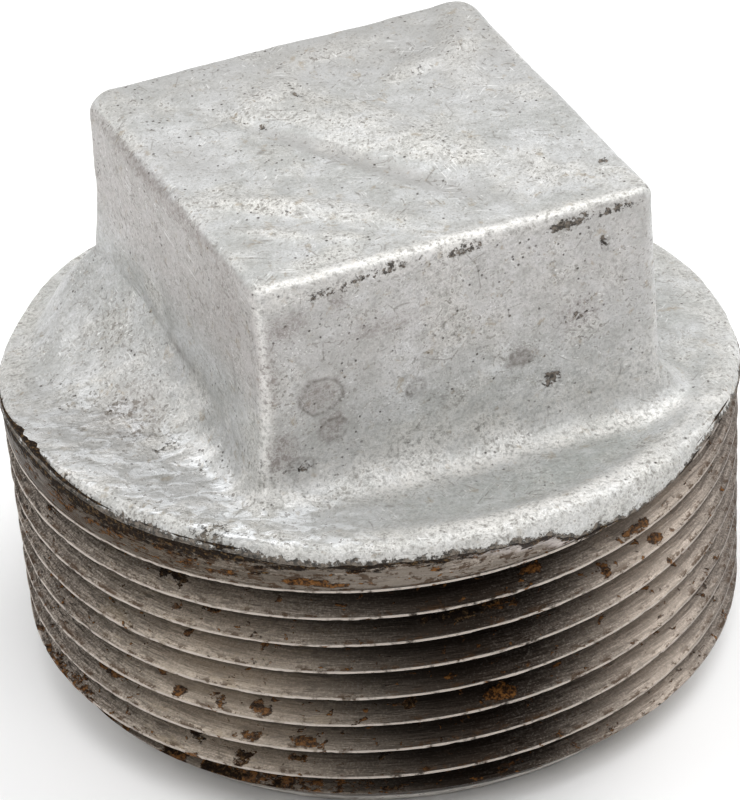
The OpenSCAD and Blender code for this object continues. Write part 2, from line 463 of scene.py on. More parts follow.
def top_grid():
    """The head's top as a square grid whose border meets the head's rings."""
    index = np.arange(PER_SIDE + 1) / PER_SIDE * 2 - 1
    qx, qy = [a.ravel() for a in np.meshgrid(index, index, indexing="ij")]
    reach = np.maximum(largest(np.abs(qx), np.abs(qy)), 1e-9)
    bx, by = qx / reach, qy / reach
    grid_side = np.select([by <= -1 + 1e-9, bx >= 1 - 1e-9, by >= 1 - 1e-9], [0, 1, 2], 3)
    grid_along = np.select([grid_side == 0, grid_side == 1, grid_side == 2], [bx, by, -bx], -by)
    wall, normals = outline(grid_side, grid_along)
    edge_r = top_edge_radius(wall, normals)
    xy = (wall - normals * edge_r[:, None]) * reach[:, None] + HEAD_CENTRE
    points = np.column_stack([xy, top_height(xy[:, 0], xy[:, 1])])

    n = PER_SIDE + 1
    cell = np.arange(PER_SIDE)
    i, j = [a.ravel() for a in np.meshgrid(cell, cell, indexing="ij")]
    quads = np.stack([i * n + j, (i + 1) * n + j, (i + 1) * n + j + 1, i * n + j + 1], 1)
    step = np.arange(PER_SIDE)
    far = np.full(PER_SIDE, PER_SIDE)
    border_i = np.concatenate([step, far, far - step, 0 * step])
    border_j = np.concatenate([0 * step, step, far, far - step])
    return points, quads.tolist(), border_i * n + border_j


def build_head():
    seen_rings, out = head_rings()
    rings = np.concatenate([seen_rings, hidden_head_rings(out)])
    top, faces, border = top_grid()
    rows = number_rows(rings, len(top))
    points = np.concatenate([top, rings.reshape(-1, 3), [[0, 0, CROWN_Z]]])
    faces += join_rows([border, *rows])
    faces += fan(rows[-1], len(points) - 1)
    piece = make_piece("zinc_head", points, faces, "outer_zinc")
    visible = np.arange(len(points)) < rows[len(seen_rings)][0]
    roughen_head(piece.data, visible)
    paint_head(piece.data)
    shade_smooth(piece.data, 60)
    return piece


def across_front_left(p):
    """Coordinates turned about Z, so that the first one runs along the shoulder's ripples."""
    turn = math.radians(RIPPLE_TURN)
    x, y, z = p.T
    along = x * math.cos(turn) - y * math.sin(turn)
    return np.column_stack([along, x * math.sin(turn) + y * math.cos(turn), z])


def front_left(p):
    return smooth(-p[:, 0], 7, 13) * smooth(-p[:, 1], -9, 0) * (1 - smooth(p[:, 2], 26, 28))


def inside_walls(p):
    """Distances of points behind the planes of the head's west and south walls."""
    return p[:, 0] - HEAD_CENTRE[0] + HEAD_HALF, p[:, 1] - HEAD_CENTRE[1] + HEAD_HALF


def top_share(nz, z):
    """1 on the head's top and 0 elsewhere."""
    return smooth(nz, 0.8, 0.95) * smooth(z, 36, 37)


def crumbly_share(p):
    """Where the zinc froze rough and crumbly: on the humps of the top, the left shoulder and the rim."""
    x, y, z = p.T
    humps = smooth(top_height(x, y) - top_plane(x, y), 0.03, 0.15) * smooth(z, 36, 37)
    low = 1 - smooth(z, 27, 30)
    left = largest(bell(x, -17.5, 3.0) * bell(y, -2.0, 5.0), bell(x, -14.5, 3.0) * bell(y, -13.5, 3.5))
    rim = low * smooth(np.hypot(x, y), 21.6, 23.0)
    _, from_south = inside_walls(p)
    south_edge = bell(from_south, 0.4, 0.9) * smooth(z, 36.8, 38.0)
    foot = bell(from_south, -1.6, 1.0) * low
    clouds = smooth(layered(p, 3.2, 35), 0.05, 0.4) * 0.8
    patchy = 0.65 + 0.7 * layered(p, 1.8, 36)
    rough = largest(humps, low * left, 0.9 * rim, south_edge, 0.7 * foot, clouds)
    return np.clip(rough * patchy, 0, 1)


def roughen_head(mesh, visible):
    """Lumps, ripples and grain of the zinc, as real shape."""
    p, n = points_and_normals(mesh)
    x, y, z = p.T
    nz = n[:, 2]
    local_x, local_y = x - HEAD_CENTRE[0], y - HEAD_CENTRE[1]
    from_west, from_south = inside_walls(p)
    on_top = top_share(nz, z)
    on_shoulder = smooth(nz, 0.3, 0.8) * (1 - smooth(z, 27, 30))
    crumbly = crumbly_share(p)
    height = 0.07 * noise(p, 6.0, 21) + 0.045 * noise(p, 2.4, 22) + 0.02 * noise(p, 1.0, 23)
    height += (0.012 + 0.04 * crumbly) * layered(p, 0.75, 24, 2)
    height += on_top * 0.05 * layered(p, 2.6, 25)

    # Ripples where the zinc ran down the front left of the shoulder
    height += 0.14 * on_shoulder * front_left(p) * layered(across_front_left(p), (2.8, 1.1, 3.0), 31)

    # A bead along the top's south edge, and an upright edge that bows out to its foot
    south_edge = bell(from_south, 0.15, 0.75) * smooth(z, 36.6, 38.2) * smooth(nz, -0.2, 0.1)
    height += 0.16 * south_edge * (0.75 + 0.5 * noise(p, 1.6, 33))
    waist = bell(from_west, 0, 2.2) * bell(from_south, 0, 2.2)
    height -= 0.24 * waist * bell(z, 35.0, 2.2)
    lean = 0.7 * smooth(-local_x, 8, 14) * smooth(-local_y, 3, 14) * smooth(31.0 - z, 0, 8.5)
    lean += 0.55 * smooth(-local_x, 8, 14) * smooth(local_y, 5, 13) * smooth(33.0 - z, 0, 8)
    lean *= 1 - smooth(-from_west, 0.0, 5.0)

    for place, radii, depth in HEAD_DENTS:
        height -= depth * smooth(1 - patch(p, place, radii), 0, 0.7)
    height += 0.05 * round_scars(p)
    moved = p + n * (height * visible)[:, None]
    moved[:, 0] -= lean * visible
    write_points(mesh, moved)


def round_scars(p):
    """Irregular rings round the places where gas left the zinc."""
    bent = p + 0.22 * np.stack([noise(p, 0.9, seed) for seed in (71, 72, 73)], 1)
    total = np.zeros(len(p))
    for place, radii, line in HEAD_RINGS:
        away = (patch(bent, place, (radii[0], 2.0, radii[1])) - 1) * min(radii)
        total = largest(total, bell(away, 0, line))
    return total


# Place, radii and depth of single dents on the head
HEAD_DENTS = [
    ((-0.5, 7.0, 38.2), (0.35, 1.4, 0.8), 0.16),
    ((7.6, 5.4, 37.7), (0.5, 0.5, 0.6), 0.2),
    ((-4.5, 4.2, 38.3), (0.35, 0.35, 0.6), 0.15),
    ((10.8, -14.2, 34.9), (0.28, 0.6, 0.9), 0.22),
    ((6.7, -14.2, 25.9), (0.75, 0.6, 0.6), 0.12),
    ((-7.7, -14.2, 37.0), (0.4, 0.6, 1.0), 0.1),
]

# Place, radii and line width of round scars that gas left in the zinc
HEAD_RINGS = [
    ((-9.5, -14.2, 30.2), (1.45, 1.25), 0.11),
    ((-11.0, -14.2, 25.2), (0.95, 0.8), 0.13),
    ((-11.1, -14.2, 25.1), (0.55, 0.45), 0.08),
    ((-2.9, -14.2, 28.5), (0.62, 0.58), 0.11),
    ((-2.8, -14.2, 28.4), (0.3, 0.26), 0.08),
    ((-8.8, -14.2, 27.5), (0.9, 0.8), 0.1),
    ((4.6, -14.2, 28.3), (0.65, 0.52), 0.13),
    ((-0.4, -14.2, 26.6), (0.75, 0.6), 0.09),
]

# Place, radii and strength of dark smudges under the top's south edge and elsewhere
DARK_PATCHES = [
    ((8.4, -14.1, 37.3), (1.5, 0.9, 0.5), 1.0),
    ((11.6, -14.1, 37.2), (1.4, 0.9, 0.35), 0.9),
    ((1.0, -14.1, 37.8), (1.7, 0.9, 0.32), 0.8),
    ((-4.8, -14.1, 38.1), (2.8, 0.9, 0.36), 0.8),
    ((-8.5, -14.1, 37.9), (1.6, 0.9, 0.35), 0.7),
    ((13.2, -9.7, 37.9), (0.5, 0.4, 0.5), 0.8),
    ((9.4, -11.5, 37.9), (0.5, 0.3, 0.5), 0.6),
    ((6.7, -14.3, 25.9), (0.75, 0.8, 0.6), 1.2),
    ((10.8, -14.3, 35.0), (0.22, 0.8, 0.9), 0.9),
    ((-18.3, -16.1, 22.9), (2.0, 1.7, 0.7), 0.9),
    ((7.4, 5.6, 37.9), (0.3, 0.24, 0.5), 0.8),
    ((-1.0, 7.0, 38.3), (0.22, 1.3, 0.5), 0.55),
    ((-4.5, 4.2, 38.3), (0.25, 0.22, 0.5), 0.9),
    ((-11.0, -14.2, 25.2), (0.6, 0.8, 0.45), 0.5),
    ((8.6, -14.2, 30.0), (0.9, 0.8, 0.35), 0.6),
    ((-16.5, -5.2, 23.2), (0.9, 0.6, 0.8), 0.5),
]

# Place, radii and strength of warm brown stains on the walls
BROWN_STAINS = [
    ((-9.4, -14.2, 30.2), (1.6, 1, 1.3), 0.8),
    ((-8.8, -14.2, 27.6), (1.1, 1, 1.2), 0.8),
    ((-12.4, -14.2, 26.6), (1.3, 1, 1.7), 0.9),
    ((-12.9, -14.2, 33.0), (0.8, 1, 3.4), 0.8),
    ((-11.6, -14.2, 36.0), (1.8, 1, 1.2), 0.7),
    ((4.6, -14.2, 28.3), (1.3, 1, 1.0), 0.7),
    ((8.6, -14.2, 30.2), (1.8, 1, 1.4), 0.5),
    ((-5.0, -14.2, 34.0), (3.2, 1, 0.9), 0.5),
    ((-7.7, -14.2, 37.0), (0.5, 1, 1.2), 0.7),
    ((-13.4, 0.0, 38.2), (1, 9.5, 1.0), 0.6),
    ((-13.4, -9.5, 36.0), (1, 2.5, 3.0), 0.4),
    ((-17.6, -1.0, 23.6), (2.6, 3.0, 1.6), 0.4),
]


def paint_head(mesh):
    """Where the zinc is stained, warm or crumbly, where painted shade darkens it, and where painted
    highlights lie, partly on worn edges.
    """
    p, n = points_and_normals(mesh)
    x, y, z = p.T
    nx, ny, nz = n.T
    local_x, local_y = x - HEAD_CENTRE[0], y - HEAD_CENTRE[1]
    from_west, from_south = inside_walls(p)
    angle, r = np.degrees(np.arctan2(y, x)), np.hypot(x, y)
    grain = layered(p, 0.9, 41)

    above_edge = z - zinc_edge_z(angle)
    left_edge = arc_bell(angle, -160, 30)
    grime = (1 - smooth(above_edge, 0.0, 0.55 + 0.35 * left_edge)) * smooth(r, 23.9, 24.25) * 0.95
    for place, radii, strength in DARK_PATCHES:
        smudge = smooth(1.5 - patch(p, place, radii) + 0.5 * grain, 0, 1.0)
        grime = largest(grime, 0.68 * strength * smudge)

    # Painted shade along the crease at the foot of the west wall, carried with the scar lines
    crease_z = np.interp(local_y, WEST_FOOT_PLACES, WEST_FOOT_HEIGHTS) + shoulder_plane(x, y)
    crease = bell(z - crease_z, 0.05, 0.35) * bell(from_west, 0, 0.9) * smooth(y, -8, 2)
    crease = crease * (0.4 + 0.6 * noise(p, 2.2, 43))

    stain = np.zeros(len(p))
    for place, radii, strength in BROWN_STAINS:
        stain = largest(stain, strength * smooth(1.3 - patch(p, place, radii) + 0.35 * grain, 0, 0.9))

    on_west = smooth(-nx, 0.6, 0.9)
    on_south = smooth(-ny, 0.7, 0.95)
    on_top = top_share(nz, z)
    # Painted shade: the back of the top, the upper west wall, the ends of the south wall, the shoulder's
    # west side and the hollows between the top's humps are made darker
    back = on_top * smooth(local_y + 0.35 * local_x, 0, 13)
    shoulder_west = smooth(-x, 13, 16) * bell(y, 0, 8) * (1 - smooth(z, 25, 28))
    south_ends = largest(smooth(x, 5, 11), smooth(-x, 3, 8))
    walls = largest(0.65 * on_west * smooth(z, 28, 34), 0.5 * on_south * south_ends)
    hollows = on_top * smooth(top_plane(x, y) - top_height(x, y), 0.02, 0.2)
    crumbs = 0.6 * bell(x, -15.5, 2.0) * bell(y, 6.0, 4.0)
    crumbs = largest(bell(x, -18.0, 2.6) * bell(y, -1.0, 4.5), crumbs)
    crumbs = largest(crumbs * (1 - smooth(z, 26, 29)), 0.45 * on_west * smooth(z, 27, 32))

    # Painted highlights: the top's south edge and its bead, the south-west edge and its foot, the low
    # south wall, the shoulder's ripples, the south foot's fillet and the rim's lip. The edges are partly
    # also worn bare.
    top_edge = 0.8 * bell(from_south, 0.25, 0.55) * smooth(z, 37.2, 38.4)
    edge_x = from_west - 0.3 + 0.7 * smooth(31.0 - z, 0, 8.5)
    front_edge = bell(np.hypot(edge_x, from_south - 0.3), 0, 0.42) * smooth(z, 21.8, 22.6)
    foot_edge = bell(np.hypot(edge_x + 0.2, from_south), 0, 0.8) * smooth(27 - z, 0, 3)
    low_wall = 0.55 * smooth(-ny, 0.5, 0.9) * bell(z, 24.0, 2.0)
    ripples = smooth(layered(across_front_left(p), (2.8, 1.1, 3.0), 31), 0.0, 0.45) * front_left(p)
    fillet = bell(from_south, -1.7, 0.75) * smooth(x, -12, -3) * (1 - smooth(z, 23, 26))
    lip = bell(RIM_R - r, 1.5, 0.7) * arc_bell(angle, -80, 36)
    bright = largest(top_edge, front_edge, foot_edge, low_wall, 0.5 * ripples, 0.8 * fillet, 0.8 * lip)

    dished = arc_bell(angle, -75, 32)
    flat = smooth(nz, 0.8, 0.98)
    paint(
        mesh,
        crumbly=crumbly_share(p),
        grime=grime,
        lines=largest(round_scars(p) * (0.7 + 0.5 * grain), crease),
        stain=stain,
        warm=on_west * smooth(z, 28, 33) + 0.5 * on_south * smooth(z, 25, 33),
        # dull holds the painted shade
        dull=largest(0.9 * back, walls, 0.6 * shoulder_west, hollows),
        crumbs=crumbs,
        bright=bright * (0.8 + 0.5 * grain),
        # Also the mask of the painted sheen
        rippled=front_left(p) * flat,
        trough=dished * bell(RIM_R - r, 5.0, 2.4) * flat * (1 - smooth(z, 26, 28)),
    )


# ---- the iron shank ----

SHANK_COLUMNS = 480
SHANK_ANGLES = CREST_ANGLE + 360 * np.arange(SHANK_COLUMNS) / SHANK_COLUMNS
# How far the iron goes up behind the zinc's edge
TUCK = 0.45
# Least height between a line of the thread and an end of the wall
END_ROOM = 0.05
# The thread's middle radius, at which lengths round it are measured
ROUND_R = 24
# Places of one pitch's lines of points, from the middle of a crest upwards
CREST_HALF = 0.032
ROOT_HALF = 0.05
CREST_EDGE = 0.016
UPPER_FLANK = np.linspace(CREST_HALF + CREST_EDGE, 0.5 - ROOT_HALF, 9)
LOWER_FLANK = np.linspace(0.5 + ROOT_HALF, 1 - CREST_HALF - CREST_EDGE, 5)
THREAD_LINES = np.concatenate([[0, CREST_HALF], UPPER_FLANK, LOWER_FLANK, [1 - CREST_HALF]])


def thread_phase(z, angle):
    """Where a height lies between one crest, 0, and the next one up, 1."""
    return ((z - CREST_Z) / PITCH - (angle - CREST_ANGLE) / 360) % 1


def first_crest_z(angle):
    """Height of the thread's uppermost crest. At the back, where a turn ends, it levels out."""
    turn = turn_from(angle, CREST_ANGLE)
    return CREST_Z + PITCH * (1 + turn / 360 * (1 - smooth(np.abs(turn), 80, 180)))


def end_chamfer(angle):
    """Size of the chamfer at the thread's end, which isn't quite even."""
    return END_CHAMFER - 0.65 * arc_bell(angle, -50, 38) + 0.35 * arc_bell(angle, 165, 32)


def worn_side(angle):
    """The thread's right side, where its crests are worn round."""
    return arc_window(angle, -85, 45, 40, 40)


def thread_radius(z, angle, phase):
    half = np.abs(phase - np.round(phase))
    share = np.clip((half - CREST_HALF) / (0.5 - ROOT_HALF - CREST_HALF), 0, 1)
    share = share + 0.85 * worn_side(angle) * (smooth(share, 0, 1) - share)
    cut = smooth(first_crest_z(angle) - z, -0.35, 0.1)
    threaded = CREST_R_END + z * RADIUS_TAPER - THREAD_DEPTH * share * cut
    chamfer = CREST_R_END - end_chamfer(angle) + z
    return np.minimum(threaded, chamfer)


def shank_wall():
    """Points and faces of the threaded wall. Its lines climb a pitch in a turn and end at two rings."""
    lines = len(THREAD_LINES)
    turns_down = math.ceil(CREST_Z / PITCH) + 2
    row = np.arange(-turns_down * lines, 4 * lines)
    row_turns = np.floor_divide(row, lines) + THREAD_LINES[row % lines]
    out = directions(np.radians(SHANK_ANGLES))
    wall_tops = shoulder_plane(*(RIM_R * out.T)) - zinc_edge_drop(SHANK_ANGLES) + TUCK
    columns, starts, lows, counts = [], [], [], []
    total = 0
    for j in range(SHANK_COLUMNS):
        top = wall_tops[j]
        z = CREST_Z + PITCH * (row_turns + j / SHANK_COLUMNS)
        fits = np.nonzero((z > END_ROOM) & (z < top - END_ROOM))[0]
        z_in = np.concatenate([[0.0], z[fits], [top]])
        low_phase, high_phase = (np.array([0.0, top]) - CREST_Z) / PITCH - j / SHANK_COLUMNS
        phase = np.concatenate([[low_phase], row_turns[fits], [high_phase]])
        r = thread_radius(z_in, SHANK_ANGLES[j], phase)
        columns.append(np.column_stack([out[j] * r[:, None], z_in]))
        starts.append(total)
        lows.append(int(fits[0]))
        counts.append(len(fits))
        total += len(z_in)

    def place(j, i):
        """Number of the point on row i of column j, or of the column's end where the row has run out."""
        wrapped = j % SHANK_COLUMNS
        i = i + (lines if j >= SHANK_COLUMNS else 0)
        return starts[wrapped] + min(max(i - lows[wrapped] + 1, 0), counts[wrapped] + 1)

    faces = []
    for j in range(SHANK_COLUMNS):
        after = (j + 1) % SHANK_COLUMNS
        low = min(lows[j], lows[after] - (lines if after == 0 else 0)) - 1
        high = max(lows[j] + counts[j], lows[after] + counts[after])
        for i in range(low, high):
            corners = [place(j, i), place(j + 1, i), place(j + 1, i + 1), place(j, i + 1)]
            kept = [c for k, c in enumerate(corners) if c != corners[k - 1]]
            if len(kept) > 2:
                faces.append(kept)
    bottoms = np.array(starts)
    tops = np.array([s + c + 1 for s, c in zip(starts, counts)])
    return np.concatenate(columns), faces, bottoms, tops


def build_shank():
    points, faces, bottoms, tops = shank_wall()
    outer_count = len(points)
    out = directions(np.radians(SHANK_ANGLES))
    # From the wall's top inwards, down round the hollow and out along the end face
    inner = [(NARROW_R + GAP, SHOULDER_Z - 1.0), (NARROW_R + GAP, STEP_Z + GAP)]
    corner = (STEP_R - HOLLOW_ROUND, STEP_Z - HOLLOW_ROUND)
    inner += arc_points(*corner, HOLLOW_ROUND + GAP, np.linspace(math.pi / 2, 0, 9))
    inner.append((MOUTH_R, 0.0))
    inner += [(MOUTH_R + (CREST_R_END - END_CHAMFER - MOUTH_R) * k / 8, 0.0) for k in range(1, 8)]
    rings = np.array([level_ring(out, r, z) for r, z in inner])
    faces += join_rows([bottoms, *number_rows(rings, outer_count)[::-1], tops])
    points = np.concatenate([points, rings.reshape(-1, 3)])
    piece = make_piece("iron_shank", points, faces, "casting")
    wear_shank(piece.data, outer_count)
    shade_smooth(piece.data, 38)
    return piece


# Angle, height, length round the thread, height of the spot and how black it is
RUST_SPOTS = [
    (-147, 18.5, 2.6, 0.5, 0.8), (-178, 11.8, 3.2, 0.6, 0.0), (-142, 16.4, 1.1, 0.55, 0.4),
    (-153, 12.3, 1.2, 0.6, 0.4), (-146, 14.0, 0.5, 0.25, 0.2), (-153, 9.7, 1.2, 0.45, 0.1),
    (-148, 9.3, 0.9, 0.3, 0.0), (-141, 9.3, 0.9, 0.3, 0.3), (-134, 9.4, 1.4, 0.35, 0.2),
    (-133, 14.3, 0.5, 0.35, 0.3), (-160, 10.1, 0.5, 0.35, 0.3), (-166, 7.3, 2.4, 0.3, 0.0),
    (-159, 7.5, 0.5, 0.4, 0.6), (-147, 5.4, 1.2, 0.6, 0.8), (-146, 4.4, 1.2, 0.45, 0.3),
    (-138, 5.0, 1.6, 0.5, 0.6), (-136, 7.1, 1.3, 0.25, 0.4), (-132, 21.5, 1.2, 0.45, 0.7),
    (-125, 20.9, 2.4, 0.35, 0.0), (-120, 20.7, 1.6, 0.25, 0.0), (-117, 21.8, 0.7, 0.3, 0.5),
    (-96, 19.4, 2.2, 0.55, 1.0), (-94, 16.6, 2.2, 0.4, 0.5), (-103, 16.5, 2.6, 0.3, 0.9),
    (-110, 10.0, 0.7, 0.5, 0.6), (-96, 9.7, 1.5, 0.4, 0.0), (-107, 8.2, 2.8, 0.7, 0.8),
    (-127, 7.2, 1.2, 0.3, 0.1), (-129, 5.2, 1.4, 0.25, 0.5), (-115, 5.6, 1.0, 0.45, 0.8),
    (-89, 18.7, 1.4, 0.3, 0.2), (-63, 19.7, 0.6, 0.4, 0.8), (-70, 18.5, 1.8, 0.25, 0.0),
    (-65, 16.4, 1.4, 0.25, 0.1), (-76, 16.4, 0.5, 0.35, 0.2), (-70, 4.0, 1.2, 0.6, 1.0),
]


def wear_shank(mesh, outer_count):
    """Nicks on the crests and waviness, then where the iron is rusty, sooty, worn or pale, and where
    painted light and shade go.
    """
    p, n = points_and_normals(mesh)
    x, y, z = p.T
    angle, r = np.degrees(np.arctan2(y, x)), np.hypot(x, y)
    outer = np.arange(len(p)) < outer_count
    edge_z = zinc_edge_z(angle)
    phase = thread_phase(z, angle)
    away = np.minimum(phase, 1 - phase)
    crest_r = CREST_R_END + z * RADIUS_TAPER
    depth = np.clip((crest_r - r) / THREAD_DEPTH, 0, 1) * smooth(z, 0.05, 0.2)
    on_crest = (1 - smooth(away, CREST_HALF, CREST_HALF + CREST_EDGE)) * (z > end_chamfer(angle) - 0.3)
    on_crest *= 1 - smooth(z - first_crest_z(angle), 0.4, 0.6)
    on_band = smooth(z - first_crest_z(angle), 0.1, 0.25)

    ring = np.column_stack([x / r * ROUND_R, y / r * ROUND_R, z])
    nicks = smooth(noise(ring, (0.8, 0.8, 1.4), 51), 0.55, 0.9)
    nicks = nicks + 0.5 * smooth(noise(ring, 0.5, 52), 0.6, 0.9)
    height = -0.09 * nicks * on_crest * (1 - on_band)
    height += 0.02 * noise(ring, (1.4, 1.4, 0.5), 53) + 0.008 * noise(ring, 0.4, 54)

    rust, soot = np.zeros(len(p)), np.zeros(len(p))
    ragged = 0.6 * layered(ring, (1.8, 1.8, 0.32), 55) + 0.6 * layered(ring, (0.5, 0.5, 0.4), 59)
    for spot_angle, spot_z, length, tall, black in RUST_SPOTS:
        arc = np.radians(turn_from(angle, spot_angle)) * ROUND_R
        reach = np.hypot(arc / (0.8 * length), (z - spot_z) / (0.75 * tall)) - 0.8 * ragged
        spot = 1 - smooth(reach, 0.55, 1.15)
        rust = largest(rust, spot * (1 - 0.55 * black))
        soot = largest(soot, spot * black)
        height += 0.05 * spot
    write_points(mesh, p + n * (height * outer)[:, None])

    low_left = 0.28 + 1.5 * arc_bell(angle, -162, 34)
    low_middle = 2.9 + 0.8 * smooth(-turn_from(angle, -150), 0, 25)
    low_band = smooth(noise(ring, (1.6, 1.6, 0.7), 56), -0.8, 0.2) * bell(z, low_middle, 1.0) * low_left
    low_band *= smooth(z, 1.5 - 0.7 * arc_bell(angle, -160, 25), 2.2)
    belt = 0.7 + 1.5 * arc_bell(angle, -162, 32) + 0.35 * noise(ring, 1.6, 57)
    edge_grime = 1.15 * (1 - smooth(edge_z - z, 0.0, belt)) * smooth(r, 20, 23)
    smear = bell(edge_z - z, 1.4, 0.9) * arc_bell(angle, -160, 30) * smooth(ragged, -0.5, 0.3)
    worn = worn_side(angle)
    # Painted shade on the thread's far right
    dim = arc_window(angle, -62, 24, 20, 40)
    left_on = arc_window(angle, -112, 22, -62, 12)
    strip = smooth(z - (edge_z - 0.9 * smooth(turn_from(angle, -112), 0, 24)) + 0.35 * ragged, -0.1, 0.25)
    paint(
        mesh,
        rust=largest(rust, 0.7 * low_band, 0.75 * smear),
        soot=largest(soot, edge_grime, 0.7 * low_band * smooth(ragged, -0.3, 0.3)),
        # Crests painted lighter: a painted highlight, partly rubbed bare metal
        crest=on_crest * (1 - 0.65 * worn),
        worn=worn * bell(away, 0, 0.24) * (1 - on_band),
        pale_band=on_band * smooth(turn_from(angle, -140), 0, 30),
        dark_band=on_band * arc_bell(angle, -162, 34),
        depth=depth,
        band=on_band,
        # Painted shade on the front and far sides, painted light on the front left and front right
        dark_side=arc_bell(angle, -104, 21) * (1 - on_band),
        pale_side=arc_bell(angle, -140, 20) * bell(z, 10, 8.5),
        tan_side=arc_window(angle, -92, 30, -64, 26),
        dim_side=largest(dim, 0.5 * arc_bell(angle, -172, 16)),
        leftover=on_band * left_on * strip,
        chamfer=(1 - smooth(z, 1.3, 2.1)) * smooth(r, 20.0, 20.4),
    )


# ---- the lining of the hollow ----


def build_lining():
    columns = 192
    out = directions(2 * math.pi * np.arange(columns) / columns)

    def profile(shift):
        """Half-section of the hollow from its mouth to its crown, moved in by shift."""
        low_z, step_r = STEP_Z - HOLLOW_ROUND, STEP_R - HOLLOW_ROUND
        high_z, crown_r = CROWN_Z - HOLLOW_ROUND, CROWN_R - HOLLOW_ROUND
        quarter = math.pi / 2
        wide = [(MOUTH_R + (STEP_R - MOUTH_R) * t, low_z * t) for t in np.linspace(0, 1, 24)]
        corner = arc_points(step_r, low_z - shift, HOLLOW_ROUND, np.linspace(0, quarter, 12)[1:])
        ledge = [(step_r - (step_r - NARROW_R) * t, STEP_Z - shift) for t in np.linspace(0, 1, 9)[1:]]
        narrow = [(NARROW_R + (CROWN_R - NARROW_R) * t, STEP_Z + (high_z - STEP_Z) * t)
                  for t in np.linspace(0.05, 1, 26)]
        crown = arc_points(crown_r, high_z - shift, HOLLOW_ROUND, np.linspace(0, quarter, 10)[1:])
        middle = [(crown_r - (crown_r - 0.6) * t, CROWN_Z - shift) for t in np.linspace(0, 0.9, 6)[1:]]
        return [(r - shift, z) for r, z in wide + corner + ledge + narrow + crown + middle]

    inside, outside = profile(LINING), profile(0)
    section = outside[::-1] + inside
    rings = np.array([level_ring(out, r, z) for r, z in section])
    points = np.concatenate([rings.reshape(-1, 3), [[0, 0, CROWN_Z], [0, 0, CROWN_Z - LINING]]])
    rows = number_rows(rings)
    faces = join_rows(rows) + fan(rows[-1], len(points) - 1)
    faces += [face[::-1] for face in fan(rows[0], len(points) - 2)]
    piece = make_piece("hollow_lining", points, faces, "hollow_zinc")
    mesh = piece.data
    p, n = points_and_normals(mesh)
    seen = np.arange(len(p)) >= len(outside) * columns
    height = 0.1 * layered(p, 2.4, 61) + 0.03 * noise(p, 0.8, 63)
    write_points(mesh, p + n * (np.minimum(height, 0.05) * seen * smooth(p[:, 2], 0.3, 1.5))[:, None])
    shade_smooth(mesh, 60)
    return piece


# ---- materials ----


